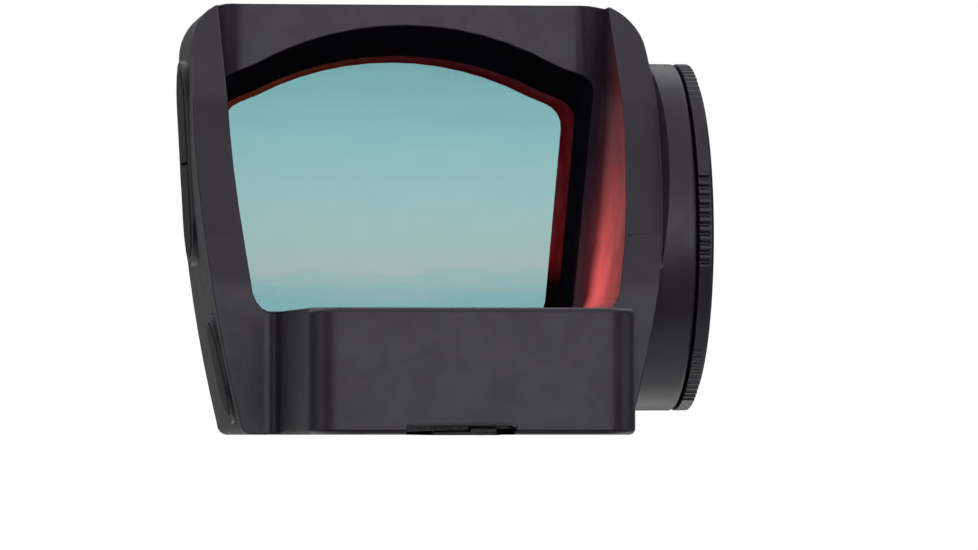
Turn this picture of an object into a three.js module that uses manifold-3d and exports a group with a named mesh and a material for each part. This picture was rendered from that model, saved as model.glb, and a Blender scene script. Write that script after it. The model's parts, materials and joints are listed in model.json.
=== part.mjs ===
// Reflex red dot sight: a milled hood with a D-shaped lens, an emitter block behind it, a coin
// cell under a knurled cap on the right, and push buttons on the left.
// Millimetres, +X to the shooter's right, +Y towards the target, +Z up. The origin is on the
// underside of the base, on the hood's middle plane.
import * as THREE from 'three';
import { mergeVertices } from 'three/addons/utils/BufferGeometryUtils.js';
import Module from 'manifold-3d';

const wasm = await Module();
wasm.setup();

// ---------------------------------------------------------------- driving dimensions

const GAP = 0.1; // clearance between pieces that sit in one another
const REAR_Y = -35; // back face of the emitter block
const WING_Y = -9.9; // back face of the hood's wings at the base
const BRIDGE_Y = 10.8; // back face of the bridge that carries the lens
const FRONT_Y = 23; // front face of the hood
const TOP_Z = 35.7;

const HOOD = {
  halfWidth: 19.4, // at the widest height, at the back
  widestZ: 28,
  sideRadius: 104, // the sides curve in towards the base
  cornerRadius: 4.1,
  footRadius: 0.9,
  wall: 3.2,
  taper: 0.075, // share of the width lost from the wings to the front face
  frontRound: 1.5,
};
const WING_EDGE = [
  { y: WING_Y, z: 11.8, radius: 7 },
  { y: -8.6, z: 16, radius: 3 },
  { y: -2.6, z: 27.2, radius: 3 },
  { y: 6, z: TOP_Z, radius: 0 },
]; // corners of the wings' sloping back edge, from the base up
const DECK = { z: 9.2, cornerRadius: 3, bridgeRadius: 3.3 };
const CHANNEL = { rear: -19.2, rearHalf: 4.9, half: 8.2, end: 8, z: 5.4, cornerRadius: 1.5 }; // for the beam
const MOUNTING = {
  screw: { x: 12, y: 6, radius: 1.6, headRadius: 2.8, headZ: 5.5 },
  locator: { x: 8, y: 17, radius: 1.9, depth: 2 },
};
const WINDOW = {
  bottom: 9,
  apex: 33.95,
  arch: 25.6, // radius of the arch, which reaches this many degrees each side of the middle
  reach: 29,
  halfTop: 15.5,
  halfBottom: 13.75,
  shoulder: 29.4,
  cornerRadius: 2,
};
const LENS = {
  y: 16.9, // rear face of the glass
  split: 18.8, // where the two elements meet, at the middle
  front: 20.7,
  middleZ: 20.4,
  lift: 0.908, // how much the window draws in towards its sill, and towards its middle
  narrow: 0.968,
  bulge: 90, // radius of the joint between the elements
  edge: 0.4,
  seat: 1,
};

const BATTERY = { y: 4.7, z: 16.3, boss: 14.3, bossStart: 15.2, bossEnd: 21.3, bore: 11.6, floor: 17 };
const CELL = { radius: 10, height: 3.2, start: 18.2 }; // a 20 mm by 3.2 mm coin cell
const CAP = {
  skirtStart: 19.5,
  start: 21.5,
  rim: 22.5,
  face: 22.8,
  radius: 14.3,
  thread: 11.45,
  pitch: 0.75,
};
const COIN_SLOT = { half: 7.5, width: 1.8, depth: 0.5 };
const KNURL = { patches: 6, span: 31, grooves: 10, depth: 0.33, first: 39.9 }; // degrees, from +Y towards +Z

const PANEL = { back: -0.7, rim: 0.3, wall: 0.9, board: 0.3 }; // heights are from the hood's side
const KEYPAD = { y: 7.5, z: 22.3, width: 8.4, height: 17, depth: 1.6 };
const POWER = { y: -3, z: 5.4, width: 7, height: 9.2, depth: 1.6 };
const KEY = { width: 5.8, length: 7.4, back: -0.45, front: 0.42, gap: 0.3, innerRadius: 0.5 };
const SWITCH = { size: 2.6, height: 0.4 };

const BLOCK = { halfWidth: 12.9, top: 9.9, cornerRadius: 3, edgeRadius: 0.45, rootRadius: 1.1, lap: 2 };
const POCKET = { half: 10.8, back: -31.5, front: -4, recess: 1.2, ceiling: 2.9, cornerRadius: 3.2 };
const COVER = { margin: 1.3, thickness: 0.8, cornerRadius: 1.4, screwInset: 0.2 };
const COVER_SCREW = { shank: 0.5, head: 1, hole: 0.6, sink: 1.1, length: 3.4 };
const RELIEF = { left: -5.4, right: 3.2, height: 0.75, depth: 2.3 }; // in the block's bottom rear edge
const TABS = [{ left: -3.1, right: -0.2, top: 0.25 }, { left: -0.3, right: 1.8, top: 0.58 }];
const TAB_REACH = 1;

const BOARD = { bottom: 1.75, top: 2.2, inset: 0.4 };
const CHIPS = [
  { name: 'controller_chip', x: -5, y: -15, width: 4, length: 4, height: 0.7 },
  { name: 'driver_chip', x: 3, y: -11, width: 3, length: 3, height: 0.65 },
  { name: 'power_inductor', x: 6.7, y: -17, width: 2.5, length: 2.5, height: 0.75 },
];
const CAPACITOR = { x: -0.2, y: -24.6, width: 1.6, length: 0.8, height: 0.6, pitch: 1.4 };

// Where the windage screw's axis crosses the middle plane. The pieces round it are placed from here.
const EMITTER = { y: -24.6, z: 5.8 };
const CHAMBER = { half: 8, back: -6.7, step: -2.6, front: 3.6, lowTop: -0.2, top: 2.6 };
const CARRIAGE = {
  half: 5,
  inner: 3.2,
  back: -6.4,
  step: -2.4,
  front: 3.2,
  bottom: -3,
  lowTop: -0.7,
  top: 2.3,
};
const HOLDER = { half: 2.9, back: -6, step: -2, front: 2.4, bottom: -1.9, lowTop: -0.9, top: 1.9 };
const PINHOLE = { radius: 0.2, z: 0.55 };
const SHIELD = { half: 4.7, back: 4.45, front: 5.25, bottom: -0.3, top: 3.2 }; // clear window in the beam
const SPRING = { y: -0.4, bay: 1.1, bayTop: 6.3 }; // the elevation spring, under the holder
const ELEVATION_Y = EMITTER.y - 5.2;
const ADJUSTER = { shank: 1.25, neck: 1.35, head: 2.1, bore: 1.4, headBore: 2.4, slot: 0.6 };
const WINDAGE_SCREW = { tip: 5.1, neck: 9.9, head: 10.9, end: 12.2, seat: 9.4 };
const ELEVATION_SCREW = { tip: 5, neck: 7.25, head: 8.25, end: 9.35, seat: 6.7 };

// ---------------------------------------------------------------- finishes

const FINISH = {
  anodised: [0x3f3c42, 0.5, 0.6],
  dark: [0x1c1b20, 0.55, 0.4],
  rubber: [0x202024, 0.8, 0],
  steel: [0xb4b6ba, 0.3, 1],
  spring: [0x9a9ca0, 0.35, 1],
  gold: [0xc9a45a, 0.35, 1],
  board: [0x1f5a3a, 0.6, 0],
  chip: [0x17181a, 0.5, 0],
  glass: [0x9fc6c8, 0.05, 0],
  led: [0xd8322e, 0.3, 0],
  amber: [0x9a6a2c, 0.5, 0],
};

function material(finish) {
  const [color, roughness, metalness] = FINISH[finish];
  return new THREE.MeshStandardMaterial({ color, roughness, metalness });
}

// ---------------------------------------------------------------- solids

/** Volume inside a closed indexed geometry: negative when its faces point inwards. */
function signedVolume(positions, index) {
  const corners = [new THREE.Vector3(), new THREE.Vector3(), new THREE.Vector3()];
  let volume = 0;
  for (let i = 0; i < index.length; i += 3) {
    corners.forEach((corner, k) => corner.fromBufferAttribute(positions, index[i + k]));
    volume += corners[0].dot(corners[1].clone().cross(corners[2])) / 6;
  }
  return volume;
}

/** Makes a solid that can be joined and cut from any closed three.js geometry. */
function solid(geometry) {
  const bare = geometry.clone();
  bare.deleteAttribute('normal');
  bare.deleteAttribute('uv');
  const merged = mergeVertices(bare, 1e-4);
  const triangles = [];
  for (let i = 0; i < merged.index.count; i += 3) {
    const [a, b, c] = [0, 1, 2].map((k) => merged.index.getX(i + k));
    if (a !== b && b !== c && c !== a) triangles.push(a, b, c);
  }
  if (signedVolume(merged.attributes.position, triangles) < 0) triangles.reverse();
  return new wasm.Manifold(new wasm.Mesh({
    numProp: 3,
    vertProperties: Float32Array.from(merged.attributes.position.array),
    triVerts: Uint32Array.from(triangles),
  }));
}

/** Turns a finished solid back into a geometry with its own flat normals. */
function geometryOf(body) {
  const mesh = body.getMesh();
  const geometry = new THREE.BufferGeometry();
  geometry.setAttribute('position', new THREE.BufferAttribute(mesh.vertProperties, 3));
  geometry.setIndex(new THREE.BufferAttribute(mesh.triVerts, 1));
  geometry.computeVertexNormals();
  return geometry;
}

const union = (...bodies) => bodies.reduce((sum, body) => sum.add(body));
const cut = (body, ...tools) => tools.reduce((rest, tool) => rest.subtract(tool), body);

// ---------------------------------------------------------------- outlines and shapes

const X = new THREE.Vector3(1, 0, 0);
const Y = new THREE.Vector3(0, 1, 0);
const Z = new THREE.Vector3(0, 0, 1);
const DRAWN_ALONG = {
  x: new THREE.Matrix4().makeBasis(Y, Z, X), // drawn in (Y, Z)
  y: new THREE.Matrix4().makeBasis(X, Z, Y.clone().negate()), // drawn in (X, Z)
  z: new THREE.Matrix4(), // drawn in (X, Y)
};

const points = (pairs) => pairs.map(([a, b]) => new THREE.Vector2(a, b));
const shapeOf = (pairs) => new THREE.Shape(points(pairs));
const degrees = THREE.MathUtils.degToRad;

/** Points of a circular arc, both ends included; angles in degrees. */
function arc(cx, cy, radius, from, to, steps) {
  return Array.from({ length: steps + 1 }, (_, i) => {
    const angle = degrees(from + ((to - from) * i) / steps);
    return [cx + radius * Math.cos(angle), cy + radius * Math.sin(angle)];
  });
}

/** Rounds each corner [x, y, radius] of a counter-clockwise outline with an arc. */
function rounded(corners, steps = 4) {
  const outline = [];
  corners.forEach(([x, y, radius = 0], i) => {
    const here = new THREE.Vector2(x, y);
    if (radius === 0) {
      outline.push([x, y]);
      return;
    }
    const back = new THREE.Vector2(...corners.at(i - 1).slice(0, 2)).sub(here).normalize();
    const on = new THREE.Vector2(...corners[(i + 1) % corners.length].slice(0, 2)).sub(here).normalize();
    const half = Math.acos(THREE.MathUtils.clamp(back.dot(on), -1, 1)) / 2;
    const centre = back.clone().add(on).normalize().multiplyScalar(radius / Math.sin(half)).add(here);
    const start = back.clone().multiplyScalar(radius / Math.tan(half)).add(here).sub(centre).angle();
    const end = on.clone().multiplyScalar(radius / Math.tan(half)).add(here).sub(centre).angle();
    let sweep = end - start;
    if (sweep > Math.PI) sweep -= 2 * Math.PI;
    if (sweep < -Math.PI) sweep += 2 * Math.PI;
    const toDegrees = THREE.MathUtils.radToDeg;
    outline.push(...arc(centre.x, centre.y, radius, toDegrees(start), toDegrees(start + sweep), steps));
  });
  return outline;
}

const rectangle = (x0, x1, y0, y1, radius = 0) =>
  rounded([[x0, y0, radius], [x1, y0, radius], [x1, y1, radius], [x0, y1, radius]]);

/** Upright rounded bar around a centre: half-round ends where the radius is half the width. */
const bar = (cx, cy, width, height, radius = width / 2 - 0.01) =>
  rectangle(cx - width / 2, cx + width / 2, cy - height / 2, cy + height / 2, radius);

/** Prism of an outline along a named axis, between two places on it. */
function prism(outline, axis, from, to, options = {}) {
  const { hole, ...extrude } = options;
  const shape = shapeOf(outline);
  if (hole) shape.holes.push(new THREE.Path(points(hole)));
  const geometry = new THREE.ExtrudeGeometry(shape, { depth: to - from, bevelEnabled: false, ...extrude });
  geometry.translate(0, 0, axis === 'y' ? -to : from);
  return geometry.applyMatrix4(DRAWN_ALONG[axis]);
}

/** Box between two corners. */
function block(x0, x1, y0, y1, z0, z1) {
  const geometry = new THREE.BoxGeometry(x1 - x0, y1 - y0, z1 - z0);
  return geometry.translate((x0 + x1) / 2, (y0 + y1) / 2, (z0 + z1) / 2);
}

const TURNED_ALONG = {
  x: new THREE.Matrix4().makeRotationZ(-Math.PI / 2),
  y: new THREE.Matrix4(),
  z: new THREE.Matrix4().makeRotationX(Math.PI / 2),
};

/** Solid of revolution: profile of [radius, place along the axis], about an axis through centre. */
function turned(profile, axis, centre, segments = 40) {
  const geometry = new THREE.LatheGeometry(points(profile), segments);
  return geometry.applyMatrix4(TURNED_ALONG[axis]).translate(...centre);
}

/** Plain round rod along an axis. */
const rod = (radius, axis, from, to, centre, segments = 24) =>
  turned([[0, from], [radius, from], [radius, to], [0, to]], axis, centre, segments);

/** Ring of round section, such as an O-ring. */
function oRing(radius, thickness, axis, at, centre) {
  const section = arc(radius, at, thickness, 0, 360, 6);
  section[section.length - 1] = section[0];
  return turned(section, axis, centre, 28);
}

/** Straight drilled hole between two points. */
function drilled(from, to, radius) {
  const start = new THREE.Vector3(...from);
  const run = new THREE.Vector3(...to).sub(start);
  const turn = new THREE.Quaternion().setFromUnitVectors(Y, run.clone().normalize());
  const geometry = new THREE.CylinderGeometry(radius, radius, run.length(), 10);
  return geometry.translate(0, run.length() / 2, 0).applyQuaternion(turn).translate(...from);
}

/** Round wire along a smooth path. */
function wire(path, radius, steps, sides = 8) {
  const curve = new THREE.CatmullRomCurve3(path.map((point) => new THREE.Vector3(...point)));
  const section = shapeOf(arc(0, 0, radius, 0, 360 - 360 / sides, sides - 1));
  return new THREE.ExtrudeGeometry(section, { steps, extrudePath: curve, bevelEnabled: false });
}

/** Coil spring along an axis, from one place on it to another. */
function coil(radius, wireRadius, turns, axis, from, to, centre) {
  const perTurn = 10;
  const start = from + wireRadius;
  const rise = to - from - 2 * wireRadius;
  const path = Array.from({ length: turns * perTurn + 1 }, (_, i) => {
    const angle = (2 * Math.PI * i) / perTurn;
    return [radius * Math.sin(angle), start + (rise * i) / (turns * perTurn), radius * Math.cos(angle)];
  });
  const geometry = wire(path, wireRadius, turns * perTurn, 5);
  return geometry.applyMatrix4(TURNED_ALONG[axis]).translate(...centre);
}

// ---------------------------------------------------------------- the assembly

const sight = new THREE.Group();

/** Adds a piece, made from a geometry or a solid, as a named mesh. */
function piece(name, shape, finish) {
  const geometry = geometryOf(shape.isBufferGeometry ? solid(shape) : shape);
  const mesh = new THREE.Mesh(geometry, material(finish));
  mesh.name = name;
  sight.add(mesh);
}

// ---------------------------------------------------------------- hood outline

/** Half the hood's width at a height, at the back. */
const hoodHalf = (z) => HOOD.halfWidth - (z - HOOD.widestZ) ** 2 / (2 * HOOD.sideRadius);

/** Mirrors the right-hand half of an outline, listed upwards, to close it on the left. */
const mirrored = (right) => [...right, ...right.map(([x, z]) => [-x, z]).reverse()];

/** Right side of the hood from just over the foot to just under the top corner, moved in by inset. */
function sideLine(inset, from, to, steps) {
  return Array.from({ length: steps + 1 }, (_, i) => {
    const z = from + ((to - from) * i) / steps;
    return [hoodHalf(z) - inset, z];
  });
}

function hoodOutline() {
  const { cornerRadius: corner, footRadius: foot } = HOOD;
  const topSide = TOP_Z - corner;
  const cornerX = hoodHalf(topSide) - corner;
  return mirrored([
    ...arc(hoodHalf(foot) - foot, foot, foot, -90, 0, 4),
    ...sideLine(0, foot, topSide, 12).slice(1, -1),
    ...arc(cornerX, topSide, corner, 0, 90, 10),
  ]);
}

/** Hood without its openings: it narrows evenly forwards and its front edge is rounded. */
function hoodBody() {
  const { frontRound: round, taper, halfWidth } = HOOD;
  const back = WING_Y - 1;
  const sections = 5; // one straight run, then four short ones round the front edge
  const geometry = prism(hoodOutline(), 'y', back, FRONT_Y, { steps: sections });
  const place = geometry.attributes.position;
  for (let i = 0; i < place.count; i += 1) {
    const section = Math.round((sections * (place.getY(i) - back)) / (FRONT_Y - back));
    const turn = degrees((90 * Math.max(section - 1, 0)) / (sections - 1));
    const y = section === 0 ? back : FRONT_Y - round * (1 - Math.sin(turn));
    const inset = section === 0 ? 0 : round * (1 - Math.cos(turn));
    const narrow = 1 - (taper * (y - WING_Y)) / (FRONT_Y - WING_Y);
    place.setX(i, place.getX(i) * narrow * (1 - inset / halfWidth));
    place.setY(i, y);
    place.setZ(i, TOP_Z / 2 + (place.getZ(i) - TOP_Z / 2) * (1 - (2 * inset) / TOP_Z));
  }
  return solid(geometry);
}

/** Everything behind the wings' back edge: a steep slope, a second slope, then upright. */
function behindWings() {
  const corners = WING_EDGE.map(({ y, z, radius }) => [y, z, radius]);
  const behind = REAR_Y - 5;
  const above = TOP_Z + 5;
  const outline = [[WING_Y, -5], ...corners, [WING_EDGE.at(-1).y, above], [behind, above], [behind, -5]];
  return solid(prism(rounded(outline, 5), 'x', -30, 30));
}

/** Space between the wings, above the deck, ending in a rounded corner against the bridge. */
function betweenWings() {
  const { z: floor, cornerRadius: corner, bridgeRadius: fillet } = DECK;
  const wallFoot = floor + corner;
  const footX = hoodHalf(wallFoot) - HOOD.wall;
  const half = hoodHalf(HOOD.widestZ) - HOOD.wall;
  const section = mirrored([
    ...arc(footX - corner, wallFoot, corner, -90, 0, 6),
    ...sideLine(HOOD.wall, wallFoot, HOOD.widestZ, 5).slice(1),
    [half, TOP_Z + 5],
  ]);
  const behind = WING_Y - 5;
  const wide = half + 0.01;
  const plan = rounded([
    [-wide, behind], [wide, behind], [wide, BRIDGE_Y, fillet], [-wide, BRIDGE_Y, fillet],
  ], 8);
  return solid(prism(section, 'y', behind, BRIDGE_Y + 5)).intersect(solid(prism(plan, 'z', 0, TOP_Z + 10)));
}

// ---------------------------------------------------------------- lens window

/** Outline of the lens window: an arch on two sides that lean in towards the base. */
function windowOutline() {
  const { bottom, apex, arch: radius, reach, halfTop, halfBottom, shoulder, cornerRadius } = WINDOW;
  return rounded([
    [-halfBottom, bottom, cornerRadius],
    [halfBottom, bottom, cornerRadius],
    [halfTop, shoulder, cornerRadius],
    ...arc(0, apex - radius, radius, 90 - reach, 90 + reach, 12),
    [-halfTop, shoulder, cornerRadius],
  ]);
}

/** Draws a window outline in, towards the middle of its sill, as it is at the lens. */
const atLens = ([x, z]) => [x * LENS.narrow, WINDOW.bottom + (z - WINDOW.bottom) * LENS.lift];

/** Grows an outline by a width all round, seen from its middle. */
function grown(outline, width) {
  const centre = new THREE.Vector2(0, LENS.middleZ);
  return outline.map(([x, z], i) => {
    const before = outline.at(i - 1);
    const after = outline[(i + 1) % outline.length];
    const run = new THREE.Vector2(after[0] - before[0], after[1] - before[1]).normalize();
    const out = new THREE.Vector2(run.y, -run.x);
    if (out.dot(new THREE.Vector2(x, z).sub(centre)) < 0) out.negate();
    return [x + out.x * width, z + out.y * width];
  });
}

const LENS_OUTLINE = windowOutline().map(atLens);

/** Tunnel from the bridge's back face to the lens, drawn in on the way. */
function windowTunnel() {
  const length = LENS.y - BRIDGE_Y;
  const geometry = prism(windowOutline(), 'y', BRIDGE_Y - length, LENS.y + 0.01);
  const place = geometry.attributes.position;
  for (let i = 0; i < place.count; i += 1) {
    const share = (place.getY(i) - BRIDGE_Y) / length;
    const narrow = 1 - (1 - LENS.narrow) * share;
    const lift = 1 - (1 - LENS.lift) * share;
    place.setX(i, place.getX(i) * narrow);
    place.setZ(i, WINDOW.bottom + (place.getZ(i) - WINDOW.bottom) * lift);
  }
  return solid(geometry);
}

function makeLens() {
  const { front, bulge, middleZ, edge, seat } = LENS;
  const back = LENS.y + 0.05;
  const blank = solid(prism(grown(LENS_OUTLINE, edge), 'y', back, front));
  const ball = (faceY) => solid(new THREE.SphereGeometry(bulge, 60, 40).translate(0, faceY - bulge, middleZ));
  piece('rear_lens_element', blank.intersect(ball(LENS.split)), 'glass');
  piece('front_lens_element', cut(blank, ball(LENS.split + GAP)), 'glass');
  const ring = grown(LENS_OUTLINE, seat - 0.05);
  const hole = grown(LENS_OUTLINE, edge + 0.05);
  piece('lens_seal', prism(ring, 'y', back, front - 0.3, { hole }), 'dark');
}

// ---------------------------------------------------------------- side panels

/** Place on the hood's left side: local +Z is outwards, local +Y runs up the side. */
function leftSide(y, z) {
  const lean = Math.asin((HOOD.widestZ - z) / HOOD.sideRadius);
  const out = new THREE.Vector3(-Math.cos(lean), 0, -Math.sin(lean));
  const up = new THREE.Vector3(-Math.sin(lean), 0, Math.cos(lean));
  const share = (y - WING_Y) / (FRONT_Y - WING_Y);
  const x = -hoodHalf(z) * (1 - HOOD.taper * share);
  return new THREE.Matrix4().makeBasis(up.clone().cross(out), up, out).setPosition(x, y, z);
}

const KEYPAD_PLACE = leftSide(KEYPAD.y, KEYPAD.z);
const POWER_PLACE = leftSide(POWER.y, POWER.z);

/** Prism standing out of a side panel, between two heights from the hood's side. */
function onPanel(place, outline, from, to, options) {
  return prism(outline, 'z', from, to, options).applyMatrix4(place);
}

/** Rim round a panel's opening, and the circuit board at the bottom of its recess. */
function makePanel(name, place, { width, height, depth }, opening) {
  const rim = onPanel(place, bar(0, 0, width, height), PANEL.back, PANEL.rim, { hole: opening });
  piece(`${name}_bezel`, rim, 'anodised');
  const outline = bar(0, 0, width - 6 * GAP, height - 6 * GAP);
  const bottom = GAP / 2 - depth;
  piece(`${name.split('_')[0]}_board`, onPanel(place, outline, bottom, bottom + PANEL.board), 'amber');
}

/** Dome switch under a button, at a distance up the panel. */
function makeSwitch(name, place, { depth }, up) {
  const bottom = GAP + PANEL.board - depth;
  const pad = bar(0, up, SWITCH.size, SWITCH.size);
  piece(name, onPanel(place, pad, bottom, bottom + SWITCH.height), 'steel');
}

function makeKeypad() {
  const { width, length, back, front, gap, innerRadius } = KEY;
  const half = width / 2;
  const outerRadius = half - 0.2;
  const inner = gap / 2;
  const outer = inner + length;
  makePanel('keypad', KEYPAD_PLACE, KEYPAD, bar(0, 0, width + 4 * GAP, 2 * outer + 4 * GAP));
  [['up', 1], ['down', -1]].forEach(([label, side]) => {
    const key = rounded([
      [-half, inner, innerRadius], [half, inner, innerRadius],
      [half, outer, outerRadius], [-half, outer, outerRadius],
    ]).map(([x, y]) => [x * side, y * side]);
    piece(`brightness_${label}_button`, onPanel(KEYPAD_PLACE, key, back, front), 'rubber');
    makeSwitch(`brightness_${label}_switch`, KEYPAD_PLACE, KEYPAD, side * (inner + length / 2));
  });
}

function makePowerButton() {
  const width = POWER.width - 2 * PANEL.wall;
  const height = POWER.height - 2 * PANEL.wall;
  makePanel('power_button', POWER_PLACE, POWER, bar(0, 0, width + 4 * GAP, height + 4 * GAP));
  piece('power_button', onPanel(POWER_PLACE, bar(0, 0, width, height), KEY.back, KEY.front), 'rubber');
  makeSwitch('power_switch', POWER_PLACE, POWER, 0);
}

function panelRecesses() {
  const recess = ({ width, height, depth }, place) => {
    const outline = bar(0, 0, width + 2 * GAP, height + 2 * GAP);
    return solid(onPanel(place, outline, -depth, 4));
  };
  return [recess(KEYPAD, KEYPAD_PLACE), recess(POWER, POWER_PLACE)];
}

// ---------------------------------------------------------------- battery side

const BATTERY_CENTRE = [0, BATTERY.y, BATTERY.z];

/** Round boss on the right side. It stands clear of the sloping space behind the wings. */
function batteryBoss() {
  const { boss, bossStart, bossEnd } = BATTERY;
  const edge = 0.2;
  const profile = [
    [0, bossStart], [boss, bossStart], [boss, bossEnd - edge], [boss - edge, bossEnd], [0, bossEnd],
  ];
  return cut(solid(turned(profile, 'x', BATTERY_CENTRE, 60)), hoodBody().intersect(behindWings()));
}

function batteryBore() {
  const { bore, bossEnd, floor } = BATTERY;
  const contactRadius = CELL.radius + 0.4;
  const step = CAP.skirtStart - 1.5 * GAP;
  const gland = CAP.start - 1.1; // the mouth is wider, for the O-ring
  const profile = [
    [0, floor], [contactRadius, floor], [contactRadius, step], [bore, step], [bore, gland],
    [bore + 0.5, gland], [bore + 0.5, bossEnd + 1], [0, bossEnd + 1],
  ];
  return solid(turned(profile, 'x', BATTERY_CENTRE));
}

/** Rim of the cap: patches of fine grooves with smooth stretches between them. */
function knurledRim() {
  const { patches, span, grooves, depth, first } = KNURL;
  const outline = [];
  const at = (angle, radius) => outline.push([
    BATTERY.y + radius * Math.cos(degrees(angle)),
    BATTERY.z + radius * Math.sin(degrees(angle)),
  ]);
  const pitch = span / grooves;
  const smooth = 360 / patches - span;
  for (let patch = 0; patch < patches; patch += 1) {
    const start = first + (360 / patches) * patch;
    for (let groove = 0; groove < grooves; groove += 1) {
      const edge = start + groove * pitch;
      at(edge + pitch * 0.2, CAP.radius);
      at(edge + pitch * 0.4, CAP.radius - depth);
      at(edge + pitch * 0.6, CAP.radius - depth);
      at(edge + pitch * 0.8, CAP.radius);
    }
    for (let i = 0; i <= 4; i += 1) at(start + span + (smooth * i) / 4, CAP.radius);
  }
  return outline;
}

/** Threaded skirt of the cap; the plain rings stand in for a helical thread. */
function capSkirt(inside) {
  const { start, thread, pitch, skirtStart } = CAP;
  const root = thread - 0.3;
  const profile = [[inside, skirtStart]];
  for (let x = skirtStart; x < start - 1.2; x += pitch) {
    profile.push([root, x], [thread, x + 0.35 * pitch], [thread, x + 0.5 * pitch], [root, x + 0.85 * pitch]);
  }
  profile.push([root, start + 0.1], [inside, start + 0.1], [...profile[0]]);
  return solid(turned(profile, 'x', BATTERY_CENTRE));
}

function makeBatteryCap() {
  const { start, rim, face, radius, thread, skirtStart } = CAP;
  const inside = CELL.radius + 0.2;
  const cupFloor = CELL.start + CELL.height + 0.25;
  const flange = solid(prism(knurledRim(), 'x', start, rim));
  const crown = [
    [0, rim - 0.2], [radius - 0.5, rim - 0.2], [radius - 0.5, rim], [radius - 0.9, face], [0, face],
  ];
  const top = solid(turned(crown, 'x', BATTERY_CENTRE, 72));
  const cup = solid(rod(inside, 'x', skirtStart - 1, cupFloor, BATTERY_CENTRE, 40));
  const { half, width, depth } = COIN_SLOT;
  const { y, z } = BATTERY;
  const slot = solid(block(face - depth, face + 1, y - half, y + half, z - width / 2, z + width / 2));
  piece('battery_cap', cut(union(cut(union(flange, top), cup), capSkirt(inside)), slot), 'anodised');
  piece('battery_cap_o_ring', oRing(thread + 0.15, 0.36, 'x', start - 0.45, BATTERY_CENTRE), 'rubber');
}

function makeCell() {
  const { radius, height, start } = CELL;
  const end = start + height;
  const wall = 0.3;
  const edge = 0.25;
  const can = [
    [0, end - wall], [radius - 2 * wall, end - wall], [radius - 2 * wall, start + GAP], [radius, start + GAP],
    [radius, end - edge], [radius - edge, end], [0, end],
  ];
  piece('cell_can', turned(can, 'x', BATTERY_CENTRE), 'steel');
  const cupRadius = radius - 1.2;
  const cupEnd = end - 2 * wall;
  piece('cell_negative_cup', rod(cupRadius, 'x', start, cupEnd, BATTERY_CENTRE, 40), 'steel');
  const inner = cupRadius + GAP;
  const outer = radius - 2 * wall - GAP;
  const grommet = [
    [inner, start + 0.15], [outer, start + 0.15], [outer, end - wall - GAP], [0, end - wall - GAP],
    [0, cupEnd + GAP / 2], [inner, cupEnd + GAP / 2], [inner, start + 0.15],
  ];
  piece('cell_grommet', turned(grommet, 'x', BATTERY_CENTRE), 'chip');
}

function makeBatteryContacts() {
  const { y, z, floor } = BATTERY;
  const disc = rod(CELL.radius - 0.2, 'x', floor + 0.05, floor + 0.35, BATTERY_CENTRE, 40);
  piece('battery_insulator', disc, 'chip');
  const reach = 6;
  const back = floor + 0.4;
  const face = back + 0.2;
  const leaf = [
    [back, y - reach], [back, y + reach], [face, y + reach], [face + 0.02, y + 1],
    [face + 0.42, y], [face + 0.02, y - 1], [face, y - reach],
  ];
  piece('negative_contact', prism(leaf, 'z', z - 2, z + 2), 'gold');
  const seat = CELL.start + CELL.height + 0.03;
  const washer = [[4, seat], [8.5, seat], [8.5, seat + 0.17], [4, seat + 0.17], [4, seat]];
  piece('cap_contact', turned(washer, 'x', BATTERY_CENTRE, 32), 'spring');
}

const LEAD_Z = 7.6; // the battery leads leave the bottom of the compartment at this height
const LEAD_TURN = [10.6, 0.2, 7.7]; // where the two drillings of the battery leads meet
const KEYPAD_TURN = [-14.8, 3.1, 6.3];
const CABLE_WAYS = [
  { from: [BATTERY.floor + 0.5, 0, LEAD_Z], to: LEAD_TURN, radius: 1.05 },
  { from: LEAD_TURN, to: [10.4, -8, 2.2], radius: 1.05 },
  { from: [-17, 5, 14.2], to: KEYPAD_TURN, radius: 0.9 },
  { from: KEYPAD_TURN, to: [-10, -9, 2.2], radius: 0.9 },
  { from: [-14.6, POWER.y, POWER.z - 0.3], to: [-9.6, -11, 2.2], radius: 0.85 },
];

/** Wires and flat cables, each drawn inside its drilling; a lead's side is its place in the pair. */
function makeCables() {
  const lead = (side) => [
    [BATTERY.floor - GAP, side, LEAD_Z], [13.5, side, LEAD_Z], [11.2 + side, side, LEAD_Z - 0.1],
    [10.6 + side, -1.4, 6.7], [10.5 + side, -4.4, 4.6], [10.4 + side, -7.2, 2.75],
  ];
  piece('battery_lead_negative', wire(lead(0.44), 0.2, 16, 6), 'rubber');
  piece('battery_lead_positive', wire(lead(-0.44), 0.2, 16, 6), 'led');
  const keypadRun = [
    [-16.6, 4.8, 13.4], [-15.9, 4, 10], [-14.9, 3, 6.4], [-12.5, -2.4, 4.5], [-10.5, -7.8, 2.6],
  ];
  piece('keypad_cable', wire(keypadRun, 0.25, 16, 6), 'amber');
  const powerRun = [[-14.2, POWER.y - 0.5, 4.8], [-12.1, -7, 3.6], [-10.1, -10.2, 2.5]];
  piece('power_cable', wire(powerRun, 0.25, 8, 6), 'amber');
}

// ---------------------------------------------------------------- emitter block

/** Board pocket in the underside, moved in by inset; its big corners leave room for the screws. */
function pocketOutline(inset) {
  const { half, back, front, cornerRadius } = POCKET;
  return rectangle(inset - half, half - inset, back + inset, front - inset, cornerRadius - inset);
}

/** Outline of the cover over the board pocket, moved out by extra. */
function coverOutline(extra) {
  const { half, back, front } = POCKET;
  const out = COVER.margin + extra;
  return rectangle(-half - out, half + out, back - out, front + out, COVER.cornerRadius);
}

const COVER_SCREWS = [-1, 1].flatMap((side) => {
  const x = side * (POCKET.half - COVER.screwInset);
  return [[x, POCKET.back + COVER.screwInset, 0], [x, POCKET.front - COVER.screwInset, 0]];
});

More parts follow.
